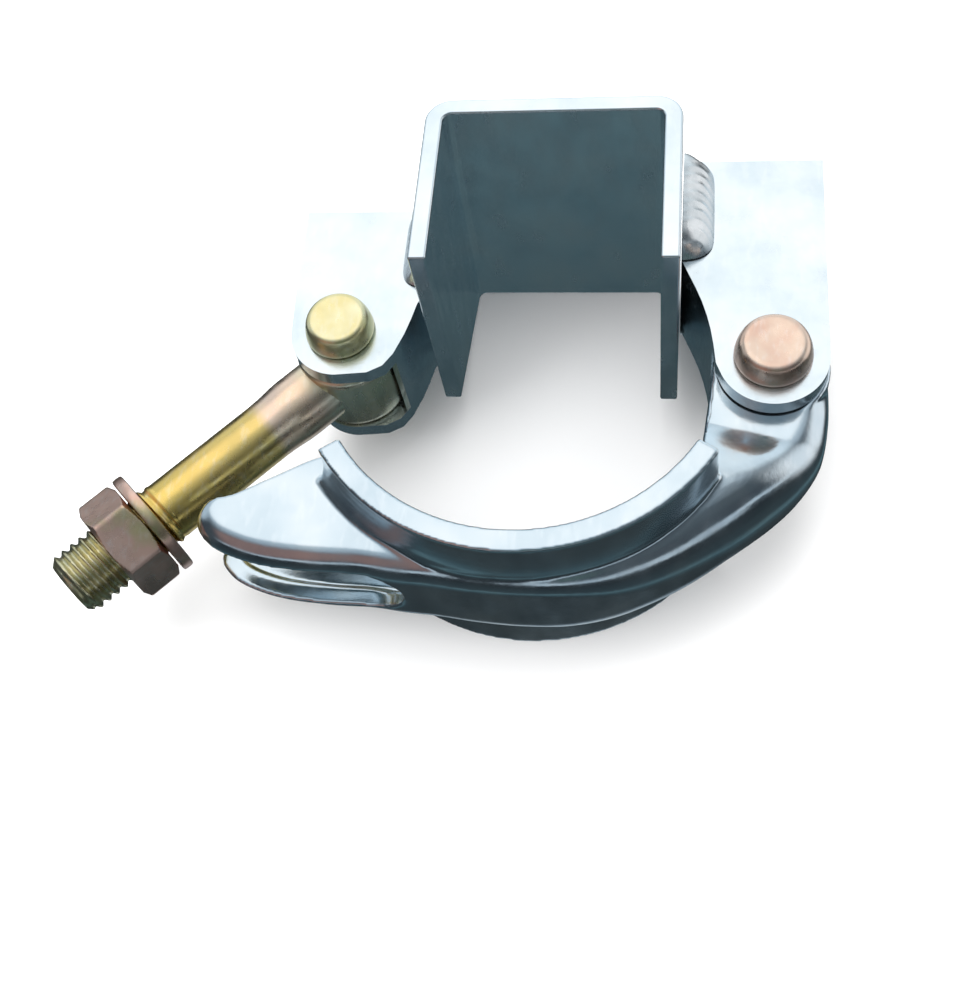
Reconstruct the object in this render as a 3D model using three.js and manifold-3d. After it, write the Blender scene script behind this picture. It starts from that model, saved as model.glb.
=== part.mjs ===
// Scaffold coupler clamp: a pressed hinged jaw and a swing bolt on lugs welded to a U channel.
// Millimetres, +Z up along the tube's axis. The clamp lies on its rear side at z = 0,
// with the channel towards +Y and the jaw towards -Y.
import * as THREE from 'three';
import { mergeVertices } from 'three/addons/utils/BufferGeometryUtils.js';
import Module from 'manifold-3d';

const wasm = await Module();
wasm.setup();

// ---- driving dimensions ----
const GAP = 0.3; // air between pieces that touch
const SHEET = 3; // channel and lug sheet
const JAW_SHEET = 3.2;
const CHANNEL = { inner: 36.4, top: 32.4, length: 51.5, rake: 8.8, bend: 4.5 };
const LUG = { mid: 19.5, width: 21.2 }; // both lugs and the jaw share one middle plane
const WALL_X = CHANNEL.inner / 2 + SHEET; // outer face of the channel's walls
const HINGE_PIN = { x: 36.5, y: -3.9 };
const BOLT_PIN = { x: -36.5, y: 0.6 };
const RIVET = { shank: 5.4, base: 6.4, face: 5.2, head: 4, rearHead: 3.2, rimHeight: 0.9 };
const PIN_HOLE = RIVET.shank + 0.08;
const SEAT = { x: -3.8, y: -7.2, r: 33.6, start: 213, end: 329 }; // the jaw's arc, in degrees
const JAW = { half: 10.5, earHalf: 7.1, earR: 9.6, rimWidth: 10, length: 39 };
const SLOT = { width: 13.4, end: -22.5 };
const EYE = { r: 9, width: 14 };
const BOLT = { angle: 226, shank: 5.4, thread: 5.85, threadStart: 35, length: 62.7 };
const WASHER = { at: 44.2, r: 9.8, thick: 2 };
const NUT = { flats: 17, height: 7.4, bore: 5.92 };
const WELD_LEG = 5.4;
const JAW_STEPS = 64; // lofted sections along the jaw
const BEND_STEPS = 4; // facets round each of its bends

// ---- materials ----
const finish = (name, color, metalness, roughness) => {
  const material = new THREE.MeshStandardMaterial({ color, metalness, roughness });
  material.name = name;
  return material;
};
const BRIGHT_ZINC = finish('bright_zinc', 0xc9d2dc, 0.9, 0.3);
const YELLOW_ZINC = finish('yellow_zinc', 0xc9a84a, 0.9, 0.35);
const RIVET_ZINC = finish('rivet_zinc', 0xd9c9a0, 0.85, 0.4);
const NUT_ZINC = finish('nut_zinc', 0x9a7a62, 0.85, 0.4);
const WELD_STEEL = finish('weld_steel', 0xb9c0c4, 0.8, 0.5);

// ---- solids and booleans ----
const toSolid = (geometry) => {
  const clean = geometry.clone();
  clean.deleteAttribute('normal');
  clean.deleteAttribute('uv');
  const welded = mergeVertices(clean, 1e-4);
  const triVerts = Uint32Array.from(welded.index.array);
  const vertProperties = Float32Array.from(welded.attributes.position.array);
  return new wasm.Manifold(new wasm.Mesh({ numProp: 3, vertProperties, triVerts }));
};

const toGeometry = (solid) => {
  const mesh = solid.getMesh();
  const geometry = new THREE.BufferGeometry();
  geometry.setAttribute('position', new THREE.BufferAttribute(mesh.vertProperties, 3));
  geometry.setIndex(new THREE.BufferAttribute(mesh.triVerts, 1));
  const flat = geometry.toNonIndexed();
  flat.computeVertexNormals();
  return flat;
};

const unite = (...solids) => solids.reduce((sum, solid) => sum.add(solid));
const cut = (solid, ...tools) => tools.reduce((rest, tool) => rest.subtract(tool), solid);

// ---- shape helpers ----
const prism = (shape, z0, z1, curveSegments = 16) => {
  const options = { depth: z1 - z0, bevelEnabled: false, curveSegments };
  return toSolid(new THREE.ExtrudeGeometry(shape, options).translate(0, 0, z0));
};

const polygon = (points) => new THREE.Shape(points.map(([x, y]) => new THREE.Vector2(x, y)));

const cylinder = (x, y, r, z0, z1, segments = 40) => {
  const geometry = new THREE.CylinderGeometry(r, r, z1 - z0, segments);
  geometry.rotateX(Math.PI / 2);
  return toSolid(geometry.translate(x, y, (z0 + z1) / 2));
};

const box = (x0, x1, y0, y1, z0, z1) => {
  const geometry = new THREE.BoxGeometry(x1 - x0, y1 - y0, z1 - z0);
  return toSolid(geometry.translate((x0 + x1) / 2, (y0 + y1) / 2, (z0 + z1) / 2));
};

const onCircle = (cx, cy, r, degrees) => {
  const angle = THREE.MathUtils.degToRad(degrees);
  return [cx + r * Math.cos(angle), cy + r * Math.sin(angle)];
};

const arc = (cx, cy, r, from, to, steps) =>
  Array.from({ length: steps + 1 }, (_, i) => onCircle(cx, cy, r, from + ((to - from) * i) / steps));

// Joins equal-length closed sections into one solid with flat ends.
const loft = (sections) => {
  const count = sections[0].length;
  const faces = [];
  for (let s = 0; s + 1 < sections.length; s += 1) {
    for (let i = 0; i < count; i += 1) {
      const j = (i + 1) % count;
      const near = s * count;
      const far = near + count;
      faces.push([near + i, near + j, far + j], [near + i, far + j, far + i]);
    }
  }
  const last = (sections.length - 1) * count;
  capTriangles(sections[0]).forEach(([a, b, c]) => faces.push([c, b, a]));
  capTriangles(sections.at(-1)).forEach(([a, b, c]) => faces.push([last + a, last + b, last + c]));
  const points = sections.flat();
  const outward = signedVolume(points, faces) > 0;
  const geometry = new THREE.BufferGeometry().setFromPoints(points);
  geometry.setIndex(faces.flatMap(([a, b, c]) => (outward ? [a, b, c] : [c, b, a])));
  return toSolid(geometry);
};

const capTriangles = (section) => {
  const normal = new THREE.Vector3();
  section.forEach((point, i) => normal.add(point.clone().cross(section[(i + 1) % section.length])));
  normal.normalize();
  const across = section[1].clone().sub(section[0]).normalize();
  const up = normal.clone().cross(across);
  const flat = section.map((point) => new THREE.Vector2(point.dot(across), point.dot(up)));
  return THREE.ShapeUtils.triangulateShape(flat, []);
};

const signedVolume = (points, faces) =>
  faces.reduce((sum, [a, b, c]) => sum + points[a].dot(points[b].clone().cross(points[c])), 0);

// ---- saddle channel ----
const saddleChannel = () => {
  const inside = CHANNEL.inner / 2;
  const { top, bend, length } = CHANNEL;
  const innerTop = top - SHEET;
  const innerBend = bend - SHEET;
  const section = polygon([
    [-WALL_X, 0],
    [-inside, 0],
    ...arc(-inside + innerBend, innerTop - innerBend, innerBend, 180, 90, 4),
    ...arc(inside - innerBend, innerTop - innerBend, innerBend, 90, 0, 4),
    [inside, 0],
    [WALL_X, 0],
    ...arc(WALL_X - bend, top - bend, bend, 0, 90, 8),
    ...arc(-WALL_X + bend, top - bend, bend, 90, 180, 8),
  ]);
  return cut(prism(section, 0, length), rearRake());
};

// Cuts the walls' rear edges back from the web to the tips.
const rearRake = () => {
  const { top, bend, rake } = CHANNEL;
  const slope = rake / (top - bend);
  const profile = polygon([[-1, -1], [top - bend, -1], [top - bend, 0], [-1, rake + slope]]);
  const geometry = new THREE.ExtrudeGeometry(profile, { depth: 60, bevelEnabled: false });
  // the profile's x runs along +Y, its y along +Z and the extrusion along +X
  const basis = [new THREE.Vector3(0, 1, 0), new THREE.Vector3(0, 0, 1), new THREE.Vector3(1, 0, 0)];
  geometry.applyMatrix4(new THREE.Matrix4().makeBasis(...basis));
  return toSolid(geometry.translate(-30, 0, 0));
};

// ---- lugs: two cheeks joined by a web that lies on the channel's wall ----
const lug = (cheek, web, pin, sweep) => {
  const [rear, front] = [LUG.mid - LUG.width / 2, LUG.mid + LUG.width / 2];
  const clearance = cylinder(pin.x, pin.y, sweep, rear + SHEET, front - SHEET, 64);
  const bracket = unite(
    prism(polygon(cheek), rear, rear + SHEET),
    prism(polygon(cheek), front - SHEET, front),
    prism(polygon(web), rear + SHEET / 2, front - SHEET / 2),
  );
  return cut(bracket, clearance, cylinder(pin.x, pin.y, PIN_HOLE, rear - 1, front + 1));
};

const hingeLug = () => {
  const { x, y } = HINGE_PIN;
  const left = WALL_X + GAP;
  const tubeSide = [[26.9, -1.9], [26.4, 1.2], [25.8, 3.8], [24.9, 6.8], [23.9, 9.4], [left, 15]];
  const offset = [[left + SHEET, 16.4], [26.8, 10.6], [27.8, 7.6], [28.7, 4.6], [29.4, 1.6], [29.9, -1.9]];
  const cheek = [[left, 36.5], [45.6, 36.5], ...arc(x, y, 9.1, 0, -155, 20), [27.3, -5.4], ...tubeSide];
  return lug(cheek, [[left, 36.5], ...tubeSide.toReversed(), ...offset.toReversed(), [left + SHEET, 36.5]],
    HINGE_PIN, JAW.earR + 0.5);
};

const boltLug = () => {
  const { x, y } = BOLT_PIN;
  const right = -WALL_X - GAP;
  const tubeSide = [[right, 10], [-22.8, 8.2], [-23.7, 6.2], [-24.4, 3.2], [-25.3, 0], [-26.8, -3.9]];
  const offset = [[-29.6, -2.7], [-28.2, 0.9], [-27.3, 4], [-26.5, 7.4], [-25.4, 9.8], [right - SHEET, 11]];
  const cheek = [[right, 26.2], ...tubeSide, [-28.4, -6.3], [-31, -7.7], ...arc(x, y, 8.8, 270, 180, 12),
    [-45.7, 9], [-45.9, 26.2]];
  return lug(cheek, [[right, 26.2], ...tubeSide, ...offset, [right - SHEET, 26.2]], BOLT_PIN, EYE.r + 0.5);
};

// ---- weld beads in the corners between the channel's walls and the lugs' cheeks ----
const weldBead = (side, face, outward, y0, y1, leg) => {
  const corner = new THREE.Vector2(side * (WALL_X + GAP), face + outward * GAP);
  const steps = 28;
  const sections = Array.from({ length: steps + 1 }, (_, i) => {
    const along = i / steps;
    const y = y0 + (y1 - y0) * along;
    const taper = Math.max(0.35, Math.min(1, Math.sqrt(Math.sin(Math.PI * along) * 2.2)));
    const ripple = 1 + 0.035 * Math.sin(i * Math.PI * 0.5);
    return beadSection(corner, side, outward, y, leg * taper * ripple);
  });
  return loft(sections);
};

const beadSection = (corner, side, outward, y, leg) => {
  const rim = Array.from({ length: 8 }, (_, k) => {
    const angle = (Math.PI / 2) * (k / 7);
    const reach = Math.min(leg, (1.14 * leg) / (Math.cos(angle) + Math.sin(angle)));
    return [reach * Math.cos(angle), reach * Math.sin(angle)];
  });
  return [[0, 0], ...rim].map(([x, z]) => new THREE.Vector3(corner.x + side * x, y, corner.y + outward * z));
};

// ---- rivets ----
const rivet = (pin) => {
  const { shank, base, face, head, rearHead, rimHeight } = RIVET;
  const front = LUG.mid + LUG.width / 2 + GAP;
  const rear = LUG.mid - LUG.width / 2 - GAP;
  const profile = [
    [0, rear - rearHead],
    [face - 0.6, rear - rearHead],
    [face + 0.9, rear - rearHead + 0.8],
    [base, rear - rimHeight],
    [base, rear],
    [shank, rear],
    [shank, front],
    [base, front],
    [base, front + rimHeight],
    [face + 0.35, front + head - 0.35],
    [face - 0.25, front + head],
    [0, front + head],
  ];
  const geometry = new THREE.LatheGeometry(profile.map(([r, z]) => new THREE.Vector2(r, z)), 48);
  return toSolid(geometry.rotateX(Math.PI / 2).translate(pin.x, pin.y, 0));
};

// ---- hinged jaw: a U section lofted from the fork's nose to the hinge ears ----
// Each station: seat side point, crown side point, half width across the jaw, crown bend radius.
const jawStations = () => {
  const seat = (degrees) => onCircle(SEAT.x, SEAT.y, SEAT.r, degrees);
  const crown = (degrees, r) => onCircle(SEAT.x, SEAT.y, r, degrees);
  const { half, earHalf } = JAW;
  return [
    [[-51.2, -31.2], [-56.4, -32.4], half, 4],
    [[-50.4, -30.9], [-56.9, -35.6], half, 4],
    [[-49.4, -30.4], [-54.6, -38.6], half, 4],
    [[-47.4, -29.3], [-50.6, -40.7], half, 4],
    [[-43, -26.9], [-44.6, -42.3], half, 4],
    [[-37, -23.9], [-36.5, -43.1], half, 4],
    [[-32.8, -24], [-29, -43.3], half, 4],
    [seat(222), crown(242, 41.8), half, 4.5],
    [seat(240), crown(250, 39.8), half, 4.5],
    [seat(255), crown(260, 38.8), half, 4.4],
    [seat(270), crown(271, 38.6), half, 4.2],
    [seat(284), crown(283, 39.3), half, 4.6],
    [seat(298), crown(295, 40.5), half, 6],
    [seat(311), crown(308, 41.7), half, 7],
    [seat(322), crown(321, 43.6), half, 8],
    [seat(329), crown(331, 46), half, 8],
    [[25.3, -19.5], [41.2, -24.6], 8.9, 7],
    [[25.8, -14.4], [44.7, -18.8], earHalf, 5.5],
    [[26.3, -10], [45.9, -12.2], earHalf, 5],
    [[26.9, -4.6], [46.1, -5], earHalf, 5],
  ];
};

const jawSections = (steps) => {
  const stations = jawStations();
  const curve = (pick) => new THREE.CatmullRomCurve3(stations.map((s) => new THREE.Vector3(...pick(s))));
  const seatCurve = curve(([seat]) => [...seat, 0]);
  const crownCurve = curve(([, crown]) => [...crown, 0]);
  const sizeCurve = curve(([, , half, bend]) => [half, bend, 0]);
  return Array.from({ length: steps + 1 }, (_, i) => {
    const u = i / steps;
    const size = sizeCurve.getPoint(u);
    return uSection(seatCurve.getPoint(u), crownCurve.getPoint(u), Math.min(size.x, JAW.half), size.y);
  });
};

// A U in the plane of the jaw's depth direction and Z, open on the seat side.
const uSection = (seat, crown, half, bend) => {
  const depth = seat.distanceTo(crown);
  const inward = crown.clone().sub(seat).normalize();
  const outer = Math.min(bend, depth - 0.2);
  const inner = Math.max(outer - JAW_SHEET, 0.5);
  const floor = depth - JAW_SHEET;
  const at = (across, deep) => seat.clone().addScaledVector(inward, deep).setZ(LUG.mid + across);
  const bendPoints = (centre, deep, r, side, from, to) =>
    arc(0, 0, r, from, to, BEND_STEPS).map(([a, d]) => at(side * (centre + a), deep + d));
  return [
    at(half, 0),
    ...bendPoints(half - outer, depth - outer, outer, 1, 0, 90),
    ...bendPoints(half - outer, depth - outer, outer, -1, 90, 0),
    at(-half, 0),
    at(-half + JAW_SHEET, 0),
    ...bendPoints(half - JAW_SHEET - inner, floor - inner, inner, -1, 0, 90),
    ...bendPoints(half - JAW_SHEET - inner, floor - inner, inner, 1, 90, 0),
    at(half - JAW_SHEET, 0),
  ];
};

const jaw = () => {
  const { x, y } = HINGE_PIN;
  const outer = arc(SEAT.x, SEAT.y, SEAT.r + JAW_SHEET, SEAT.start, SEAT.end, 40);
  const inner = arc(SEAT.x, SEAT.y, SEAT.r, SEAT.end, SEAT.start, 40);
  const band = polygon([...outer, ...inner]);
  const ear = (z) => cylinder(x, y, JAW.earR, z, z + JAW_SHEET, 64);
  const shell = unite(
    loft(jawSections(JAW_STEPS)),
    prism(band, 0, JAW.rimWidth),
    prism(band, JAW.length - JAW.rimWidth, JAW.length),
    ear(LUG.mid - JAW.earHalf),
    ear(LUG.mid + JAW.earHalf - JAW_SHEET),
  );
  const half = SLOT.width / 2;
  const slot = box(-70, SLOT.end - half, -60, -20, LUG.mid - half, LUG.mid + half);
  const slotEnd = new THREE.CylinderGeometry(half, half, 40, 32).translate(SLOT.end - half, -40, LUG.mid);
  return cut(shell, slot, toSolid(slotEnd), cylinder(x, y, PIN_HOLE, 0, JAW.length));
};

// ---- swing bolt, washer and nut, built along +X from the bolt pin ----
const swing = (solid) =>
  solid.rotate([0, 0, BOLT.angle]).translate([BOLT_PIN.x, BOLT_PIN.y, LUG.mid]);

const turned = (profile, segments = 48) => {
  const geometry = new THREE.LatheGeometry(profile.map(([r, x]) => new THREE.Vector2(r, x)), segments);
  return toSolid(geometry.rotateZ(-Math.PI / 2));
};

const eyeBolt = () => {
  const { shank, thread, threadStart, length } = BOLT;
  const rod = turned([
    [0, EYE.r - 2],
    [shank + 0.5, EYE.r - 2],
    [shank + 0.3, EYE.r + 5.6],
    [shank, EYE.r + 8],
    [shank, threadStart],
    [thread, threadStart + 0.8],
    [thread, length - 1.2],
    [thread - 1.1, length],
    [0, length],
  ]);
  const eye = cylinder(0, 0, EYE.r, -EYE.width / 2, EYE.width / 2, 64);
  return swing(cut(unite(rod, eye), cylinder(0, 0, PIN_HOLE, -10, 10)));
};

const flatWasher = () => {
  const { at, r, thick } = WASHER;
  const bore = BOLT.thread + 0.25;
  const profile = [[bore, at], [r - 0.3, at], [r, at + 0.3], [r, at + thick - 0.3], [r - 0.3, at + thick]];
  return swing(turned([...profile, [bore, at + thick], [bore, at]]));
};

const hexNut = () => {
  const start = WASHER.at + WASHER.thick + GAP;
  const end = start + NUT.height;
  const corner = NUT.flats / Math.sqrt(3);
  const hexagon = new THREE.CylinderGeometry(corner, corner, NUT.height, 6);
  hexagon.rotateZ(-Math.PI / 2).translate((start + end) / 2, 0, 0);
  const chamfer = turned([
    [0, start],
    [NUT.flats / 2 - 0.2, start],
    [corner, start + 0.8],
    [corner, end - 0.8],
    [NUT.flats / 2 - 0.2, end],
    [0, end],
  ], 72);
  const bore = turned([[0, start - 1], [NUT.bore, start - 1], [NUT.bore, end + 1], [0, end + 1]]);
  return swing(cut(toSolid(hexagon).intersect(chamfer), bore));
};

// ---- assembly ----
const pieces = () => {
  const [rear, front] = [LUG.mid - LUG.width / 2, LUG.mid + LUG.width / 2];
  const rearLeg = WELD_LEG - 1.2;
  return [
    ['saddle_channel', saddleChannel(), BRIGHT_ZINC],
    ['hinge_lug', hingeLug(), BRIGHT_ZINC],
    ['bolt_lug', boltLug(), BRIGHT_ZINC],
    ['weld_hinge_front', weldBead(1, front, 1, 15, 36, WELD_LEG), WELD_STEEL],
    ['weld_hinge_rear', weldBead(1, rear, -1, 15, 36, rearLeg), WELD_STEEL],
    ['weld_bolt_front', weldBead(-1, front, 1, 9.4, 26, WELD_LEG), WELD_STEEL],
    ['weld_bolt_rear', weldBead(-1, rear, -1, 11, 26, rearLeg), WELD_STEEL],
    ['hinge_rivet', rivet(HINGE_PIN), RIVET_ZINC],
    ['bolt_rivet', rivet(BOLT_PIN), RIVET_ZINC],
    ['jaw', jaw(), BRIGHT_ZINC],
    ['eye_bolt', eyeBolt(), YELLOW_ZINC],
    ['flat_washer', flatWasher(), YELLOW_ZINC],
    ['hex_nut', hexNut(), NUT_ZINC],
  ];
};

// The origin goes to the middle of the clamp's footprint box.
const clamp = new THREE.Group();
clamp.name = 'scaffold_clamp';
pieces().forEach(([name, solid, material]) => {
  const mesh = new THREE.Mesh(toGeometry(solid), material);
  mesh.name = name;
  clamp.add(mesh);
});
const bounds = new THREE.Box3().setFromObject(clamp);
const centre = bounds.getCenter(new THREE.Vector3());
clamp.children.forEach((mesh) => mesh.geometry.translate(-centre.x, -centre.y, -bounds.min.z));

export default clamp;
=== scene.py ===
"""Scaffold coupler clamp: detailed pieces, plated-metal materials, studio light and camera.

The pieces are modelled in millimetres in the drawing frame (x from the middle of the channel, y from
the channel's wall tips, z from the resting plane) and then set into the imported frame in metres.
"""
import math

import bmesh
import bpy
from mathutils import Matrix, Vector, noise


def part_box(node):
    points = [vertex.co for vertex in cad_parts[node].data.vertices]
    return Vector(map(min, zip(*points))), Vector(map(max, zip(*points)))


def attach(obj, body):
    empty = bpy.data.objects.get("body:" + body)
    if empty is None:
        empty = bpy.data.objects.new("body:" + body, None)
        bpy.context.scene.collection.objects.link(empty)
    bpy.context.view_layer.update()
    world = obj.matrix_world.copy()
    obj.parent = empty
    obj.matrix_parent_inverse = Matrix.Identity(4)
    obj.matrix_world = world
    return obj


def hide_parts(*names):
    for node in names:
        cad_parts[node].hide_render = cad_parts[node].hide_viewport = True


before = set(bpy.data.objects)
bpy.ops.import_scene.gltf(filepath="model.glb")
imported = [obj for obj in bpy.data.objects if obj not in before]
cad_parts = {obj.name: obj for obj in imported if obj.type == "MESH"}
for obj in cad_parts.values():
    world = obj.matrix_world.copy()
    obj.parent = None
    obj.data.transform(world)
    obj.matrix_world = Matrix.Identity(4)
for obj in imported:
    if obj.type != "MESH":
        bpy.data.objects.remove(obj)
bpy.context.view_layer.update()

# ---- driving dimensions, millimetres ----
MM = 0.001
GAP = 0.3  # air between pieces that touch
SHEET = 3.0
JAW_SHEET = 3.2
CHANNEL_INNER = 36.4
CHANNEL_TOP = 32.4
CHANNEL_LENGTH = 51.5
CHANNEL_BEND = 4.5
CHANNEL_RAKE = 8.8
CHANNEL_ROWS = 8  # rows of faces up each wall
WALL_X = CHANNEL_INNER / 2 + SHEET
MID_Z = 19.5  # middle plane of the lugs, the jaw and the bolt
LUG_WIDTH = 21.2
LUG_REAR = MID_Z - LUG_WIDTH / 2
LUG_FRONT = MID_Z + LUG_WIDTH / 2
HINGE_PIN = (36.5, -3.9)
BOLT_PIN = (-36.5, 0.6)
PIN_SHANK_R = 5.4
PIN_HOLE_R = PIN_SHANK_R + 0.08
JAW_HALF = 10.5
EAR_HALF = 7.1
EAR_R = 9.6
SEAT = (-3.8, -7.2)
SEAT_R = 33.6
LIP_R = SEAT_R - 0.6  # inside of both rims
SEAT_SPAN = (213.0, 329.0)
RIM_WIDTH = 10.0
JAW_LENGTH = 39.0
RIM_STEPS = 120
COVE_FOOT = 0.35  # how far the front rim's cove stands past its wall
COVE_NOSE = 2.0  # added to that at the nose
COVE_END = 266.0  # degrees, where the added cove has run out
SLOT_WIDTH = 13.4
SLOT_END = -22.5
SLOT_MOUTH = -70.0  # past the nose, where the slot's cutter ends
SLOT_DEPTH = (20, 60)  # the cutter's stretch towards -Y
JAW_ROWS = 220  # sections along the jaw
JAW_VOXEL = 0.36  # grain of the remesh that rounds the pressing
JAW_RELAX = 7  # smoothing rounds after it
EYE_R = 9.0
EYE_WIDTH = 14.0
BOLT_ANGLE = 226.0
SHANK_R = 5.4
THREAD_R = 5.85
THREAD_START = 41.5
BOLT_LENGTH = 62.7
PITCH = 1.75
THREAD_DEPTH = 0.7
THREAD_FADE = 2.5  # length over which the thread rises from the shank
TIP_CHAMFER = 1.3
# stretches of the neck: start, radius, end, radius
NECK = [(6.5, 6.0, 11.0, 5.95), (11.0, 5.95, 14.5, 5.8), (14.5, 5.8, 17.5, 5.5), (17.5, 5.5, 20.0, SHANK_R)]
WASHER_AT = 44.2
WASHER_R = 9.8
WASHER_THICK = 2.0
NUT_FLATS = 17.0
NUT_START = WASHER_AT + WASHER_THICK + GAP
NUT_HEIGHT = 7.4
NUT_BORE_R = THREAD_R + 0.07
NUT_MOUTH_R = THREAD_R + 0.55
NUT_MOUTH_DEPTH = 0.6
BOLT_HEAD_SPREAD = 0.94  # the bolt rivet's front head against the hinge rivet's
FRONT_WELD_LEG = 5.4
REAR_WELD_LEG = 4.2
WELD_RIPPLE = 1.9  # from one ripple of a bead to the next
TURNED_STEPS = 128
MERGE = 1e-4  # points nearer than this become one

# ---- camera and floor ----
CAMERA_AZIMUTH = 18.88
CAMERA_ELEVATION = 62.84
CAMERA_ROLL = -15.66
CAMERA_DISTANCE = 205.34
CAMERA_TARGET = (-9.77, -31.96, 31.5)
CAMERA_LENS = 46.8
FLOOR_HALF = 3.0  # metres
PLAIN_SKY = 1.25  # strength of the white sky that lights the floor
LIGHTS_AIM = (-5, -5, 20)  # the place the lights look at
# (name, direction from that place, distance in metres, side in metres, watts)
LIGHTS = [
    ("top_softbox", (-0.15, 0.43, 0.89), 0.9, 0.9, 7),
    ("left_softbox", (-0.8, -0.3, 0.8), 1.0, 0.7, 3),
]

# ---- what the metal reflects ----
# (height from straight down 0 to straight up 1, colour)
SKY_HEIGHTS = [
    (0.0, (0.50, 0.56, 0.60)), (0.012, (0.30, 0.36, 0.40)), (0.024, (0.032, 0.040, 0.043)),
    (0.06, (0.040, 0.052, 0.057)), (0.097, (0.058, 0.096, 0.110)), (0.118, (0.085, 0.140, 0.160)),
    (0.135, (0.110, 0.180, 0.200)), (0.18, (0.045, 0.064, 0.072)), (0.46, (0.022, 0.030, 0.035)),
    (0.535, (0.03, 0.038, 0.045)), (0.565, (0.62, 0.70, 0.76)), (0.60, (0.55, 0.63, 0.69)),
    (0.65, (0.05, 0.062, 0.075)), (0.85, (0.08, 0.10, 0.115)), (1.0, (0.34, 0.40, 0.45)),
]
# (direction, cosine at the soft edge, cosine at the core, colour)
SKY_PATCHES = [
    ((-0.55, -0.62, 0.56), 0.86, 0.97, (0.30, 0.18, 0.16)),
    ((0.10, -0.80, 0.60), 0.93, 0.99, (0.08, 0.13, 0.12)),
    ((0.90, 0.40, 0.15), 0.80, 0.95, (1.0, 1.02, 1.04)),
    ((-0.95, -0.15, 0.12), 0.80, 0.95, (0.05, 0.06, 0.07)),
    ((-0.85, 0.50, 0.35), 0.82, 0.95, (0.60, 0.68, 0.74)),
    ((0.0, 0.93, 0.36), 0.66, 0.88, (1.0, 1.10, 1.16)),
    ((-0.10, 0.36, 0.93), 0.62, 0.95, (0.62, 0.70, 0.76)),
    ((-0.15, 0.43, 0.89), 0.84, 0.95, (1.27, 1.28, 1.28)),
]

# ---- placing: drawing millimetres to frame metres ----
def drawing_to_frame():
    """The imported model's shift from the drawing frame, read from the hinge rivet."""
    low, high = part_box("hinge_rivet")
    centre = (low + high) / 2
    shift = Vector((centre.x - HINGE_PIN[0] * MM, centre.y - HINGE_PIN[1] * MM, 0.0))
    return Matrix.Translation(shift) @ Matrix.Scale(MM, 4)


TO_FRAME = drawing_to_frame()


def set_piece(obj, body, node, material):
    """Moves a finished millimetre mesh into the frame and hands it to its body."""
    obj.data.transform(TO_FRAME)
    finish_piece(obj, body, node, material)


def finish_piece(obj, body, node, material):
    obj.data.materials.clear()
    obj.data.materials.append(material)
    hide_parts(node)
    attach(obj, body)


# ---- mesh helpers ----
def new_object(name, vertices, faces):
    mesh = bpy.data.meshes.new(name)
    mesh.from_pydata([tuple(v) for v in vertices], [], faces)
    mesh.validate()
    obj = bpy.data.objects.new(name, mesh)
    bpy.context.scene.collection.objects.link(obj)
    outward(obj)
    return obj


def outward(obj, merge=0.0):
    """Turns the faces outward, after joining points that are nearer than the merge distance."""
    bm = bmesh.new()
    bm.from_mesh(obj.data)
    if merge:
        bmesh.ops.remove_doubles(bm, verts=bm.verts, dist=merge)
    bmesh.ops.recalc_face_normals(bm, faces=bm.faces)
    bm.to_mesh(obj.data)
    bm.free()


def apply_modifiers(obj):
    graph = bpy.context.evaluated_depsgraph_get()
    mesh = bpy.data.meshes.new_from_object(obj.evaluated_get(graph))
    obj.modifiers.clear()
    obj.data = mesh
    return obj


def combine(obj, tool, operation):
    """A boolean of the object with the tool, which is used up."""
    modifier = obj.modifiers.new("combine", "BOOLEAN")
    modifier.operation = operation
    modifier.solver = "EXACT"
    modifier.object = tool
    apply_modifiers(obj)
    bpy.data.objects.remove(tool)


def round_edges(obj, width, angle):
    """Small fillets on every edge sharper than the angle, then smooth shading."""
    bevel = obj.modifiers.new("edges", "BEVEL")
    bevel.width = width
    bevel.segments = 3
    bevel.limit_method = "ANGLE"
    bevel.angle_limit = math.radians(angle)
    bevel.harden_normals = True
    bevel.use_clamp_overlap = True
    for polygon in obj.data.polygons:
        polygon.use_smooth = True
    return apply_modifiers(obj)


def shade(obj, angle):
    """Smooth shading, with edges sharper than the angle kept crisp."""
    for polygon in obj.data.polygons:
        polygon.use_smooth = True
    obj.data.set_sharp_from_angle(angle=math.radians(angle))
    return obj


def arc(cx, cy, r, start, end, steps):
    """Points along an arc, its start and end in degrees."""
    angles = (math.radians(start + (end - start) * i / steps) for i in range(steps + 1))
    return [(cx + r * math.cos(a), cy + r * math.sin(a)) for a in angles]


def prism(name, outline, z0, z1):
    """An outline in X and Y, carried along Z."""
    count = len(outline)
    vertices = [(x, y, z) for z in (z0, z1) for x, y in outline]
    faces = [(i, (i + 1) % count, count + (i + 1) % count, count + i) for i in range(count)]
    faces += [tuple(reversed(range(count))), tuple(range(count, 2 * count))]
    return new_object(name, vertices, faces)


def disc(name, centre, r, z0, z1, steps=96):
    return prism(name, arc(*centre, r, 0, 360 - 360 / steps, steps - 1), z0, z1)


def loft(name, sections, capped=True):
    """Joins equal closed sections; the ends are closed with flat caps."""
    count = len(sections[0])
    vertices = [p for section in sections for p in section]
    faces = []
    for s in range(len(sections) - 1):
        base = s * count
        for i in range(count):
            j = (i + 1) % count
            faces.append((base + i, base + j, base + count + j, base + count + i))
    if capped:
        last = (len(sections) - 1) * count
        faces.append(tuple(reversed(range(count))))
        faces.append(tuple(range(last, last + count)))
    return new_object(name, vertices, faces)


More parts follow.
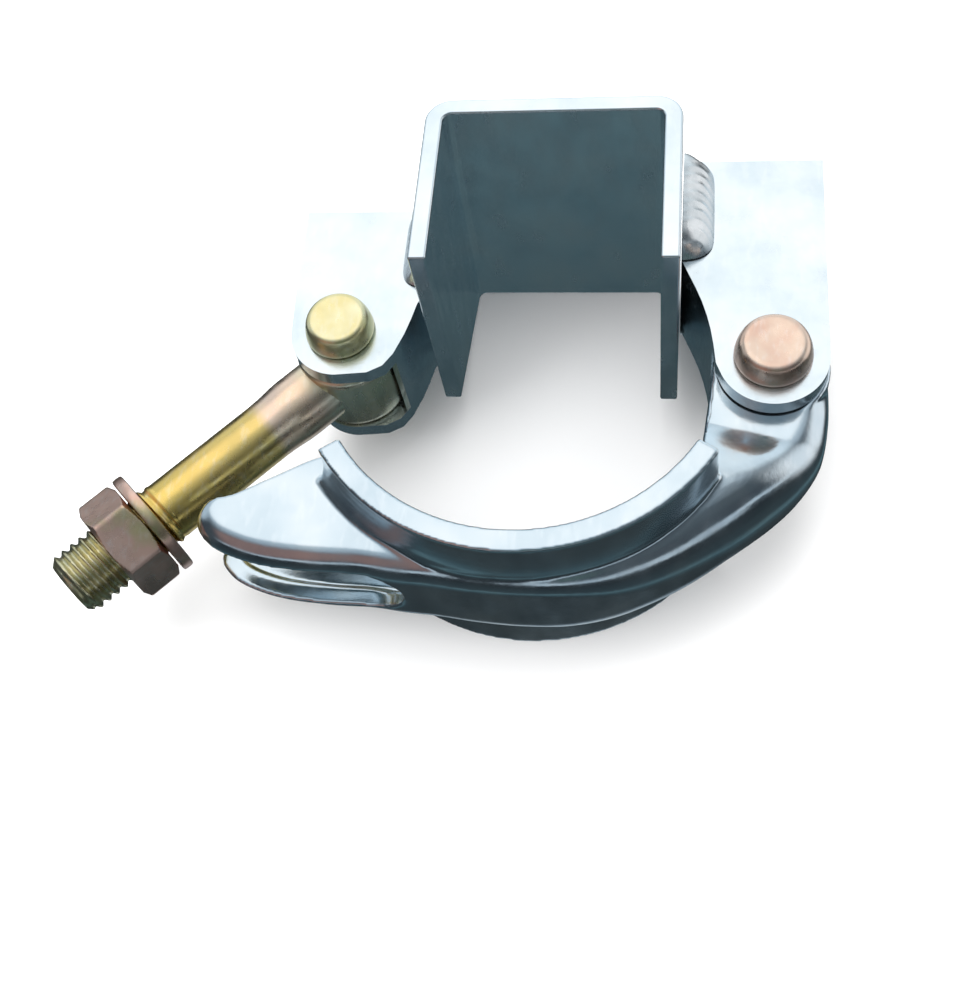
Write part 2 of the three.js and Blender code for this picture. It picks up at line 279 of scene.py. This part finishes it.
def lathe(name, profile):
    """Turns (radius, height) points about Z. Points on the axis become one vertex."""
    steps = TURNED_STEPS
    vertices, rings = [], []
    for r, z in profile:
        if r < 1e-6:
            rings.append([len(vertices)])
            vertices.append((0, 0, z))
            continue
        first = len(vertices)
        rings.append(list(range(first, first + steps)))
        for i in range(steps):
            a = 2 * math.pi * i / steps
            vertices.append((r * math.cos(a), r * math.sin(a), z))
    faces = []
    for low, high in zip(rings, rings[1:]):
        for i in range(steps):
            j = (i + 1) % steps
            if len(low) == 1:
                faces.append((low[0], high[j], high[i]))
            elif len(high) == 1:
                faces.append((low[i], low[j], high[0]))
            else:
                faces.append((low[i], low[j], high[j], high[i]))
    return new_object(name, vertices, faces)


def smooth_curve(points, steps):
    """Catmull-Rom through tuples of numbers, evenly in the points' index."""
    padded = [points[0], *points, points[-1]]
    out = []
    for i in range(steps + 1):
        u = i / steps * (len(points) - 1)
        k = min(int(u), len(points) - 2)
        t = u - k
        p0, p1, p2, p3 = padded[k:k + 4]
        out.append(tuple(
            0.5 * (2 * b + (c - a) * t + (2 * a - 5 * b + 4 * c - d) * t * t
                   + (3 * b - a - 3 * c + d) * t ** 3)
            for a, b, c, d in zip(p0, p1, p2, p3)
        ))
    return out


# ---- saddle channel ----
def channel_line(offset):
    """The channel's section line, set in from its outside by the offset, from left tip to right tip."""
    x, bend = WALL_X - offset, CHANNEL_BEND - offset
    top = CHANNEL_TOP - CHANNEL_BEND
    rows = [top * i / CHANNEL_ROWS for i in range(CHANNEL_ROWS)]
    return (
        [(-x, y) for y in rows]
        + arc(-WALL_X + CHANNEL_BEND, top, bend, 180, 90, 14)
        + arc(WALL_X - CHANNEL_BEND, top, bend, 90, 0, 14)
        + [(x, y) for y in reversed(rows)]
    )


def make_channel():
    """Both ends are closed by quads across the sheet, because the rear end isn't flat."""
    outer, inner = channel_line(0), channel_line(SHEET)
    ring = outer + inner[::-1]
    count, half = len(ring), len(outer)

    def rear_z(y):
        return max(0.0, CHANNEL_RAKE * (1 - y / (CHANNEL_TOP - CHANNEL_BEND)))

    vertices = [(x, y, rear_z(y)) for x, y in ring] + [(x, y, CHANNEL_LENGTH) for x, y in ring]
    faces = [(i, (i + 1) % count, count + (i + 1) % count, count + i) for i in range(count)]
    for base in (0, count):
        faces += [(base + i, base + i + 1, base + count - 2 - i, base + count - 1 - i)
                  for i in range(half - 1)]
    return round_edges(new_object("channel_body", vertices, faces), 0.45, 50)


# ---- lugs ----
def make_lug(name, cheek, web, pin, sweep):
    lug = prism(name, cheek, LUG_REAR, LUG_REAR + SHEET)
    combine(lug, prism("part", cheek, LUG_FRONT - SHEET, LUG_FRONT), "UNION")
    combine(lug, prism("part", web, LUG_REAR + SHEET / 2, LUG_FRONT - SHEET / 2), "UNION")
    combine(lug, disc("part", pin, sweep, LUG_REAR + SHEET, LUG_FRONT - SHEET), "DIFFERENCE")
    combine(lug, disc("part", pin, PIN_HOLE_R, LUG_REAR - 1, LUG_FRONT + 1), "DIFFERENCE")
    return round_edges(lug, 0.4, 32)


def make_hinge_lug():
    left = WALL_X + GAP
    curve = [(26.9, -1.9), (26.4, 1.2), (25.8, 3.8), (24.9, 6.8), (23.9, 9.4), (left, 15.0)]
    offset = [(left + SHEET, 16.4), (26.8, 10.6), (27.8, 7.6), (28.7, 4.6), (29.4, 1.6), (29.9, -1.9)]
    cheek = [(left, 36.5), (45.6, 36.5), *arc(*HINGE_PIN, 9.1, 0, -155, 48), (27.3, -5.4)]
    web = [(left, 36.5), *reversed(curve), *reversed(offset), (left + SHEET, 36.5)]
    return make_lug("hinge_lug_body", cheek + curve, web, HINGE_PIN, EAR_R + 0.5)


def make_bolt_lug():
    right = -WALL_X - GAP
    curve = [(right, 10.0), (-22.8, 8.2), (-23.7, 6.2), (-24.4, 3.2), (-25.3, 0.0), (-26.8, -3.9)]
    offset = [(-29.6, -2.7), (-28.2, 0.9), (-27.3, 4.0), (-26.5, 7.4), (-25.4, 9.8), (right - SHEET, 11.0)]
    cheek = [(right, 26.2), *curve, (-28.4, -6.3), (-31.0, -7.7)]
    cheek += [*arc(*BOLT_PIN, 8.8, 270, 180, 30), (-45.7, 9.0), (-45.9, 26.2)]
    web = [(right, 26.2), *curve, *offset, (right - SHEET, 26.2)]
    return make_lug("bolt_lug_body", cheek, web, BOLT_PIN, EYE_R + 0.5)


# ---- weld beads ----
def make_weld(name, side, face, outward_sign, y0, y1, leg):
    """A convex rippled bead in the corner between a channel wall and a lug cheek."""
    x0 = side * (WALL_X + GAP)
    z0 = face + outward_sign * GAP
    steps, rim = 120, 18
    sections = []
    for s in range(steps + 1):
        along = s / steps
        y = y0 + (y1 - y0) * along
        end = max(0.1, (1 - abs(2 * along - 1) ** 7) ** 0.5)
        section = [(x0, y, z0)]
        for k in range(rim + 1):
            a = math.pi / 2 * k / rim
            bow = math.sin(2 * a)
            # each ripple leans back towards its middle, as weld metal freezes
            ripple = 0.028 * leg * bow * abs(math.sin(math.pi * (y - 1.6 * bow) / WELD_RIPPLE))
            grain = 0.12 * noise.noise(Vector((a * 2, y * 0.5, leg)))
            reach = leg * (1 - 0.16 * bow) * end - ripple + grain * bow
            section.append((x0 + side * reach * math.cos(a), y, z0 + outward_sign * reach * math.sin(a)))
        sections.append(section)
    return shade(loft(name, sections), 60)


# ---- rivets ----
def make_rivet(name, pin, spread):
    """A pin with a formed head at each end; the front head's size takes the spread."""
    front = LUG_FRONT + GAP
    rear = LUG_REAR - GAP
    # (radius, height above the cheek)
    head = [
        (6.1, 0), (6.3, 0.1), (6.38, 0.35), (6.3, 1.0), (6.15, 1.8), (5.85, 2.8), (5.65, 3.25), (5.4, 3.62),
        (5.05, 3.86), (4.6, 3.97), (4.1, 3.95), (2.4, 3.82), (0, 3.78),
    ]
    profile = [
        (0, rear - 3.2), (3.9, rear - 3.2), (4.9, rear - 3.05), (5.6, rear - 2.6), (6.1, rear - 1.5),
        (6.3, rear - 0.8), (6.35, rear - 0.45), (6.3, rear - 0.12), (6.1, rear),
        (PIN_SHANK_R, rear), (PIN_SHANK_R, front),
        *((r * spread, front + h) for r, h in head),
    ]
    rivet = lathe(name, profile)
    rivet.data.transform(Matrix.Translation((*pin, 0)))
    return shade(rivet, 50)


# ---- jaw ----
def on_seat(degrees, r=SEAT_R):
    return arc(*SEAT, r, degrees, degrees, 1)[0]


def jaw_stations():
    """Seat point, crown point, half width and crown bend from the fork's nose to the hinge ears."""
    return [
        (-51.2, -31.2, -56.4, -32.4, JAW_HALF, 4),
        (-50.4, -30.9, -56.9, -35.6, JAW_HALF, 4),
        (-49.4, -30.4, -54.6, -38.6, JAW_HALF, 4),
        (-47.4, -29.3, -50.6, -40.7, JAW_HALF, 4),
        (-43.0, -26.9, -44.6, -42.3, JAW_HALF, 4),
        (-37.0, -23.9, -36.5, -43.1, JAW_HALF, 4),
        (-32.8, -24.0, -29.0, -43.3, JAW_HALF, 4),
        (*on_seat(222), *on_seat(242, 41.8), JAW_HALF, 4.5),
        (*on_seat(240), *on_seat(250, 39.8), JAW_HALF, 4.5),
        (*on_seat(255), *on_seat(260, 38.8), JAW_HALF, 4.4),
        (*on_seat(270), *on_seat(271, 38.6), JAW_HALF, 4.2),
        (*on_seat(284), *on_seat(283, 39.3), JAW_HALF, 4.6),
        (*on_seat(298), *on_seat(295, 40.5), JAW_HALF, 6.6),
        (*on_seat(311), *on_seat(308, 41.7), JAW_HALF, 8.6),
        (*on_seat(322), *on_seat(321, 43.6), JAW_HALF, 9.8),
        (*on_seat(329), *on_seat(331, 46.0), JAW_HALF, 9.8),
        (25.3, -19.5, 41.2, -24.6, 8.9, 8.2),
        (25.8, -14.4, 44.7, -18.8, EAR_HALF, 6.4),
        (26.3, -10.0, 45.9, -12.2, EAR_HALF, 5),
        (26.9, -4.6, 46.1, -5.0, EAR_HALF, 5),
    ]


def u_section(seat, crown, half, bend):
    """A U in the plane of the jaw's depth direction and Z, open on the seat side."""
    depth = (crown - seat).length
    inward = (crown - seat).normalized()
    outer = min(bend, depth - 0.2)
    inner = max(outer - JAW_SHEET, 0.5)
    floor = depth - JAW_SHEET

    def at(across, deep):
        point = seat + inward * deep
        return (point.x, point.y, MID_Z + across)

    def bend_points(centre, deep, r, side, start, end):
        return [at(side * (centre + a), deep + d) for a, d in arc(0, 0, r, start, end, 10)]

    wall = half - JAW_SHEET
    return [
        at(half, 0),
        *bend_points(half - outer, depth - outer, outer, 1, 0, 90),
        *bend_points(half - outer, depth - outer, outer, -1, 90, 0),
        at(-half, 0),
        at(-wall, 0),
        *bend_points(wall - inner, floor - inner, inner, -1, 0, 90),
        *bend_points(wall - inner, floor - inner, inner, 1, 90, 0),
        at(wall, 0),
    ]


def make_jaw():
    """A U-shaped arm with two rims and two ears, slotted at the nose and softened as one pressing."""
    rows = smooth_curve(jaw_stations(), JAW_ROWS)
    jaw = loft("jaw_body", [
        u_section(Vector((sx, sy)), Vector((cx, cy)), max(EAR_HALF, min(half, JAW_HALF)), bend)
        for sx, sy, cx, cy, half, bend in rows
    ])
    start, end = SEAT_SPAN
    outside = arc(*SEAT, SEAT_R + JAW_SHEET, start, end, RIM_STEPS)
    band = outside + arc(*SEAT, LIP_R, end, start, RIM_STEPS)
    ears = (MID_Z - EAR_HALF, MID_Z + EAR_HALF - JAW_SHEET)
    combine(jaw, prism("part", band, 0, RIM_WIDTH), "UNION")
    combine(jaw, make_front_rim(), "UNION")
    for z in ears:
        combine(jaw, disc("part", HINGE_PIN, EAR_R, z, z + JAW_SHEET), "UNION")
    combine(jaw, make_slot_tool(), "DIFFERENCE")
    combine(jaw, disc("part", HINGE_PIN, PIN_HOLE_R, 0, JAW_LENGTH), "DIFFERENCE")
    return soften_pressing(jaw)


def make_front_rim():
    """The front rim's outside runs out into the arm in a cove, which grows towards the nose."""
    start, end = SEAT_SPAN
    base, outer = JAW_LENGTH - RIM_WIDTH, SEAT_R + JAW_SHEET
    # (share of the foot, height above the rim's base)
    cove = [(1.0, 0.0), (1.0, 1.0), (0.62, 2.0), (0.32, 3.6), (0.12, 5.6), (0.0, 8.0), (0.0, RIM_WIDTH)]
    sections = []
    for i in range(RIM_STEPS + 1):
        degrees = start + (end - start) * i / RIM_STEPS
        foot = COVE_FOOT + COVE_NOSE * max(0.0, COVE_END - degrees) / (COVE_END - start)
        wall = [(outer + foot * share, height) for share, height in cove]
        ring = [(LIP_R, 0.0), *wall, (LIP_R, RIM_WIDTH)]
        a = math.radians(degrees)
        sections.append([(SEAT[0] + r * math.cos(a), SEAT[1] + r * math.sin(a), base + h) for r, h in ring])
    return loft("part", sections)


def make_slot_tool():
    """The cutter for the fork's slot: straight sides and a round end, running along -Y."""
    half = SLOT_WIDTH / 2
    outline = [(SLOT_MOUTH, -half), *arc(SLOT_END - half, 0, half, -90, 90, 32), (SLOT_MOUTH, half)]
    tool = prism("part", outline, *SLOT_DEPTH)
    # the outline's y runs along the clamp's Z and its extrusion along -Y
    tool.data.transform(Matrix.Translation((0, 0, MID_Z)) @ Matrix.Rotation(math.radians(90), 4, "X"))
    return tool


def soften_pressing(obj):
    """Rounds a pressed part's corners inside and out, as the press leaves them."""
    remesh = obj.modifiers.new("remesh", "REMESH")
    remesh.mode = "VOXEL"
    remesh.voxel_size = JAW_VOXEL
    relax = obj.modifiers.new("relax", "SMOOTH")
    relax.factor = 0.5
    relax.iterations = JAW_RELAX
    apply_modifiers(obj)
    return shade(obj, 80)


# ---- swing bolt, washer and nut, modelled along +Z from the bolt pin ----
def bolt_frame():
    """From a piece turned about Z, in millimetres, to its place along the bolt."""
    swing = Matrix.Rotation(math.radians(BOLT_ANGLE), 4, "Z")
    lay_down = Matrix.Rotation(math.radians(90), 4, "Y")
    return TO_FRAME @ Matrix.Translation((*BOLT_PIN, MID_Z)) @ swing @ lay_down


def shank_radius(z):
    """The forged neck narrows from the eye to the shank."""
    for start, r, end, next_r in NECK:
        if z <= end:
            return r + (next_r - r) * max(0.0, z - start) / (end - start)
    return SHANK_R


def bolt_radius(z, turn):
    """A rolled helical thread, faded in at the shank and chamfered at the tip."""
    fade = min(1.0, max(0.0, (z - THREAD_START) / THREAD_FADE))
    phase = (z / PITCH - turn) % 1.0
    groove = max(0.0, min(1.0, 1.5 * abs(2 * phase - 1) - 0.22))
    crest = shank_radius(z) + (THREAD_R - SHANK_R) * fade
    tip = THREAD_R - max(0.0, z - (BOLT_LENGTH - TIP_CHAMFER)) * 0.95
    return min(crest - THREAD_DEPTH * fade * groove, tip)


def make_shank():
    """Neck, shank and thread as one loft, with coarse rows along the shank and 12 a turn on the thread."""
    around = 72
    heights = [EYE_R - 2.5 + 0.75 * i for i in range(47)]
    rows = int((BOLT_LENGTH - heights[-1]) / PITCH * 12)
    heights += [heights[-1] + (BOLT_LENGTH - heights[-1]) * (i + 1) / rows for i in range(rows)]
    sections = []
    for z in heights:
        radii = [bolt_radius(z, i / around) for i in range(around)]
        angles = [2 * math.pi * i / around for i in range(around)]
        sections.append([(r * math.cos(a), r * math.sin(a), z) for r, a in zip(radii, angles)])
    return loft("eye_bolt_body", sections)


def make_eye_bolt():
    half = EYE_WIDTH / 2
    eye_profile = [
        (0, -half), (EYE_R - 1.2, -half), (EYE_R - 0.5, -half + 0.25), (EYE_R - 0.1, -half + 0.8),
        (EYE_R, -half + 1.6), (EYE_R, half - 1.6), (EYE_R - 0.1, half - 0.8),
        (EYE_R - 0.5, half - 0.25), (EYE_R - 1.2, half), (0, half),
    ]
    bolt = make_shank()
    eye = lathe("part", eye_profile)
    hole = disc("part", (0, 0), PIN_HOLE_R, -10, 10)
    for part in (eye, hole):
        part.data.transform(Matrix.Rotation(math.radians(90), 4, "Y"))
    combine(bolt, eye, "UNION")
    combine(bolt, hole, "DIFFERENCE")
    return shade(bolt, 42)


def make_washer():
    bore = THREAD_R + 0.25
    top = WASHER_AT + WASHER_THICK
    profile = [
        (bore, WASHER_AT), (WASHER_R - 0.5, WASHER_AT), (WASHER_R - 0.12, WASHER_AT + 0.14),
        (WASHER_R, WASHER_AT + 0.5), (WASHER_R, top - 0.5), (WASHER_R - 0.12, top - 0.14),
        (WASHER_R - 0.5, top), (bore, top), (bore, WASHER_AT),
    ]
    washer = lathe("washer_body", profile)
    outward(washer, MERGE)
    return shade(washer, 50)


def make_nut():
    """A hexagon whose corners are turned off by a cone at both ends, with a chamfered bore."""
    steps = 192
    cone_start = NUT_FLATS / 2 - 0.1
    depths = [0, 0.1, 0.22, 0.36, 0.52, 0.7, 0.95, 1.3]
    heights = depths + [NUT_HEIGHT / 2] + [NUT_HEIGHT - d for d in reversed(depths)]

    def ring(r_of, z):
        angles = [2 * math.pi * i / steps for i in range(steps)]
        return [(r_of(a) * math.cos(a), r_of(a) * math.sin(a), z) for a in angles]

    def hexagon(a):
        sector = (math.degrees(a) % 60) - 30
        return min(NUT_FLATS / 2 / math.cos(math.radians(sector)), NUT_FLATS / math.sqrt(3) - 0.08)

    sections = [ring(lambda a: NUT_MOUTH_R, NUT_START)]
    for h in heights:
        end = min(h, NUT_HEIGHT - h)
        turned = cone_start + end * math.sqrt(3)
        sections.append(ring(lambda a, t=turned: min(hexagon(a), t), NUT_START + h))
    sections.append(ring(lambda a: NUT_MOUTH_R, NUT_START + NUT_HEIGHT))
    sections.append(ring(lambda a: NUT_BORE_R, NUT_START + NUT_HEIGHT - NUT_MOUTH_DEPTH))
    sections.append(ring(lambda a: NUT_BORE_R, NUT_START + NUT_MOUTH_DEPTH))
    nut = loft("nut_body", [*sections, sections[0]], capped=False)
    outward(nut, MERGE)
    return shade(nut, 28)


# ---- materials ----
def link(tree, source, target):
    tree.links.new(source, target)


def add_noise(tree, coords, scale, detail, stretch=(1, 1, 1)):
    mapping = tree.nodes.new("ShaderNodeMapping")
    mapping.inputs["Scale"].default_value = stretch
    texture = tree.nodes.new("ShaderNodeTexNoise")
    texture.inputs["Scale"].default_value = scale
    texture.inputs["Detail"].default_value = detail
    link(tree, coords.outputs["Object"], mapping.inputs["Vector"])
    link(tree, mapping.outputs["Vector"], texture.inputs["Vector"])
    return texture.outputs["Fac"]


def add_ramp(tree, factor, stops):
    ramp = tree.nodes.new("ShaderNodeValToRGB")
    elements = ramp.color_ramp.elements
    while len(elements) < len(stops):
        elements.new(0.5)
    for element, (place, colour) in zip(elements, stops):
        element.position = place
        element.color = (*colour, 1)
    link(tree, factor, ramp.inputs["Fac"])
    return ramp.outputs["Color"]


def add_range(tree, value, low, high, start=0.3, end=0.7, smooth=False):
    node = tree.nodes.new("ShaderNodeMapRange")
    if smooth:
        node.interpolation_type = "SMOOTHSTEP"
    node.inputs["From Min"].default_value = start
    node.inputs["From Max"].default_value = end
    node.inputs["To Min"].default_value = low
    node.inputs["To Max"].default_value = high
    link(tree, value, node.inputs["Value"])
    return node.outputs["Result"]


def add_dot(tree, vector, direction):
    node = tree.nodes.new("ShaderNodeVectorMath")
    node.operation = "DOT_PRODUCT"
    node.inputs[1].default_value = direction
    link(tree, vector, node.inputs[0])
    return node.outputs["Value"]


def add_mix(tree, factor, first, second, mode="MIX"):
    """Mixes two colours; the second may be a link or a plain colour."""
    node = tree.nodes.new("ShaderNodeMixRGB")
    node.blend_type = mode
    link(tree, first, node.inputs["Color1"])
    if isinstance(second, tuple):
        node.inputs["Color2"].default_value = (*second, 1)
    else:
        link(tree, second, node.inputs["Color2"])
    link(tree, factor, node.inputs["Fac"])
    return node.outputs["Color"]


def plated(name, stops, rough, patch=90, bump=0.05, grain=1400, zones=None):
    """Plated steel: colour drifts in soft patches, gloss varies and the surface is slightly uneven.

    Zones are a second set of colour stops along a direction: (direction, start, end, stops).
    """
    material = bpy.data.materials.new(name)
    material.use_nodes = True
    tree = material.node_tree
    shader = tree.nodes["Principled BSDF"]
    shader.inputs["Metallic"].default_value = 1.0
    coords = tree.nodes.new("ShaderNodeTexCoord")
    drift = add_noise(tree, coords, patch, 3)
    colour = add_ramp(tree, drift, stops)
    if zones:
        direction, start, end, zone_stops = zones
        along = add_dot(tree, coords.outputs["Object"], direction)
        place = add_range(tree, along, 0, 1, start, end)
        share = add_range(tree, drift, 0.65, 1.0)
        colour = add_mix(tree, share, colour, add_ramp(tree, place, zone_stops))
    # fine rubbed marks lighten and dull the plating here and there
    marks = add_noise(tree, coords, patch * 9, 6, (1, 0.35, 1))
    worn = add_range(tree, marks, 0, 0.16, 0.52, 0.7)
    colour = add_mix(tree, worn, colour, (0.9, 0.92, 0.93))
    link(tree, colour, shader.inputs["Base Color"])
    gloss = add_noise(tree, coords, patch * 3.3, 5, (1, 1, 0.4))
    link(tree, add_range(tree, gloss, *rough), shader.inputs["Roughness"])
    relief = add_noise(tree, coords, grain, 2)
    bump_node = tree.nodes.new("ShaderNodeBump")
    bump_node.inputs["Strength"].default_value = bump
    bump_node.inputs["Distance"].default_value = 0.0002
    link(tree, relief, bump_node.inputs["Height"])
    link(tree, bump_node.outputs["Normal"], shader.inputs["Normal"])
    return material


def bolt_zones():
    """The plating's colour along the bolt: pink-beige at the neck, gold on the shank, olive at the tip."""
    angle = math.radians(BOLT_ANGLE)
    direction = (math.cos(angle), math.sin(angle), 0)
    start = (TO_FRAME @ Vector((*BOLT_PIN, MID_Z))).dot(Vector(direction))
    return direction, start, start + BOLT_LENGTH * MM, [
        (0.12, (0.86, 0.80, 0.62)), (0.18, (0.92, 0.68, 0.54)), (0.30, (0.94, 0.70, 0.56)),
        (0.33, (0.82, 0.60, 0.22)), (0.70, (0.88, 0.62, 0.17)), (0.82, (0.66, 0.62, 0.40)),
        (1.0, (0.64, 0.61, 0.40)),
    ]


def make_materials():
    return {
        "bright": plated("bright_zinc", [
            (0.3, (0.66, 0.75, 0.80)), (0.5, (0.75, 0.82, 0.86)), (0.68, (0.81, 0.85, 0.87)),
        ], (0.16, 0.28)),
        # a darker copy of the same bright zinc: painted shade, so the jaw comes out darker than the body
        # under the same light
        "jaw": plated("bright_zinc_darkened_as_shade", [
            (0.3, (0.54, 0.64, 0.71)), (0.5, (0.62, 0.71, 0.77)), (0.68, (0.72, 0.78, 0.81)),
        ], (0.12, 0.22), 70),
        "weld": plated("plated_weld", [
            (0.35, (0.62, 0.66, 0.68)), (0.65, (0.80, 0.82, 0.83)),
        ], (0.22, 0.38), 300, 0.12, 2200),
        "bolt": plated("yellow_zinc", [
            (0.3, (0.46, 0.40, 0.16)), (0.5, (0.76, 0.58, 0.20)), (0.7, (0.66, 0.44, 0.30)),
        ], (0.2, 0.34), 110, zones=bolt_zones()),
        "pale_rivet": plated("pale_yellow_zinc", [
            (0.35, (0.80, 0.70, 0.36)), (0.65, (0.86, 0.80, 0.52)),
        ], (0.24, 0.38), 160),
        "pink_rivet": plated("pink_yellow_zinc", [
            (0.35, (0.72, 0.48, 0.38)), (0.65, (0.80, 0.62, 0.50)),
        ], (0.24, 0.38), 160),
        "nut": plated("brown_zinc", [
            (0.3, (0.50, 0.46, 0.24)), (0.46, (0.70, 0.46, 0.37)), (0.7, (0.80, 0.56, 0.47)),
        ], (0.22, 0.38), 120),
    }


# ---- studio ----
def make_floor():
    h = FLOOR_HALF
    mesh = bpy.data.meshes.new("floor")
    mesh.from_pydata([(-h, -h, 0), (h, -h, 0), (h, h, 0), (-h, h, 0)], [], [(0, 1, 2, 3)])
    floor = bpy.data.objects.new("floor", mesh)
    bpy.context.scene.collection.objects.link(floor)
    material = bpy.data.materials.new("pale_floor")
    material.use_nodes = True
    shader = material.node_tree.nodes["Principled BSDF"]
    shader.inputs["Base Color"].default_value = (0.93, 0.93, 0.93, 1)
    shader.inputs["Roughness"].default_value = 0.9
    shader.inputs["Specular IOR Level"].default_value = 0.1
    mesh.materials.append(material)
    floor.visible_glossy = False  # the metal reflects the painted sky, not the floor


def area_light(name, direction, distance, side, power):
    """A soft light for the floor and its shadows; the metal reflects the painted sky instead."""
    data = bpy.data.lights.new(name, "AREA")
    data.shape = "RECTANGLE"
    data.size = data.size_y = side
    data.energy = power
    light = bpy.data.objects.new(name, data)
    aim = Vector(direction).normalized()
    light.location = TO_FRAME @ Vector(LIGHTS_AIM) + aim * distance
    light.rotation_euler = aim.to_track_quat("Z", "Y").to_euler()
    light.visible_glossy = False
    bpy.context.scene.collection.objects.link(light)


def make_lights():
    for light in LIGHTS:
        area_light(*light)


def glossy_sky(tree, direction):
    """What the metal reflects: by height, then the soft patches of light and colour set into it."""
    height = add_range(tree, add_dot(tree, direction, (0, 0, 1)), 0, 1, -1, 1)
    colour = add_ramp(tree, height, SKY_HEIGHTS)
    for aim, edge, core, patch in SKY_PATCHES:
        along = add_dot(tree, direction, tuple(Vector(aim).normalized()))
        colour = add_mix(tree, add_range(tree, along, 0, 1, edge, core, True), colour, patch)
    return colour


def make_world():
    """A plain white sky lights the floor; the metal's reflections see the painted one instead."""
    world = bpy.data.worlds.new("studio")
    bpy.context.scene.world = world
    world.use_nodes = True
    tree = world.node_tree
    plain = tree.nodes["Background"]
    plain.inputs["Color"].default_value = (1, 1, 1, 1)
    plain.inputs["Strength"].default_value = PLAIN_SKY
    coords = tree.nodes.new("ShaderNodeTexCoord")
    reflected = tree.nodes.new("ShaderNodeBackground")
    link(tree, glossy_sky(tree, coords.outputs["Generated"]), reflected.inputs["Color"])
    path = tree.nodes.new("ShaderNodeLightPath")
    choose = tree.nodes.new("ShaderNodeMixShader")
    link(tree, path.outputs["Is Glossy Ray"], choose.inputs["Fac"])
    link(tree, plain.outputs["Background"], choose.inputs[1])
    link(tree, reflected.outputs["Background"], choose.inputs[2])
    link(tree, choose.outputs["Shader"], tree.nodes["World Output"].inputs["Surface"])


def make_camera():
    a = math.radians(CAMERA_AZIMUTH)
    e = math.radians(CAMERA_ELEVATION)
    toward = Vector((math.sin(a) * math.cos(e), -math.cos(a) * math.cos(e), math.sin(e)))
    right = Vector((math.cos(a), math.sin(a), 0))
    up = toward.cross(right)
    basis = Matrix((right, up, toward)).transposed().to_4x4()
    roll = Matrix.Rotation(math.radians(CAMERA_ROLL), 4, "Z")
    data = bpy.data.cameras.new("camera")
    data.lens = CAMERA_LENS
    data.clip_start = 0.01
    camera = bpy.data.objects.new("camera", data)
    place = TO_FRAME @ (Vector(CAMERA_TARGET) + toward * CAMERA_DISTANCE)
    camera.matrix_world = Matrix.Translation(place) @ basis @ roll
    bpy.context.scene.collection.objects.link(camera)
    bpy.context.scene.camera = camera


# ---- assembly ----
def make_fixed_pieces(materials):
    bright, weld = materials["bright"], materials["weld"]
    set_piece(make_channel(), "frame", "saddle_channel", bright)
    set_piece(make_hinge_lug(), "frame", "hinge_lug", bright)
    set_piece(make_bolt_lug(), "frame", "bolt_lug", bright)
    # (node, side of the channel, cheek's face, which way the face looks, from y, to y, leg)
    beads = [
        ("weld_hinge_front", 1, LUG_FRONT, 1, 15, 36, FRONT_WELD_LEG),
        ("weld_hinge_rear", 1, LUG_REAR, -1, 15, 36, REAR_WELD_LEG),
        ("weld_bolt_front", -1, LUG_FRONT, 1, 9.4, 26, FRONT_WELD_LEG),
        ("weld_bolt_rear", -1, LUG_REAR, -1, 11, 26, REAR_WELD_LEG),
    ]
    for node, *shape in beads:
        set_piece(make_weld(node + "_bead", *shape), "frame", node, weld)
    rivets = [
        ("hinge_rivet", HINGE_PIN, 1.0, "pink_rivet"),
        ("bolt_rivet", BOLT_PIN, BOLT_HEAD_SPREAD, "pale_rivet"),
    ]
    for node, pin, spread, material in rivets:
        rivet = make_rivet(node + "_body", pin, spread)
        set_piece(rivet, "frame", node, materials[material])


def make_moving_pieces(materials):
    set_piece(make_jaw(), "jaw", "jaw", materials["jaw"])
    turned = [
        (make_eye_bolt, "bolt", "eye_bolt", "yellow_zinc", "bolt"),
        (make_washer, "washer", "flat_washer", "yellow_zinc", "nut"),
        (make_nut, "nut", "hex_nut", "nut_zinc", "nut"),
    ]
    for make, body, node, slot, material in turned:
        piece = make()
        piece.data.transform(bolt_frame())
        finish_piece(piece, body, node, materials[material])


materials = make_materials()
make_fixed_pieces(materials)
make_moving_pieces(materials)
make_floor()
make_lights()
make_world()
make_camera()
bpy.context.scene.view_settings.view_transform = "Standard"
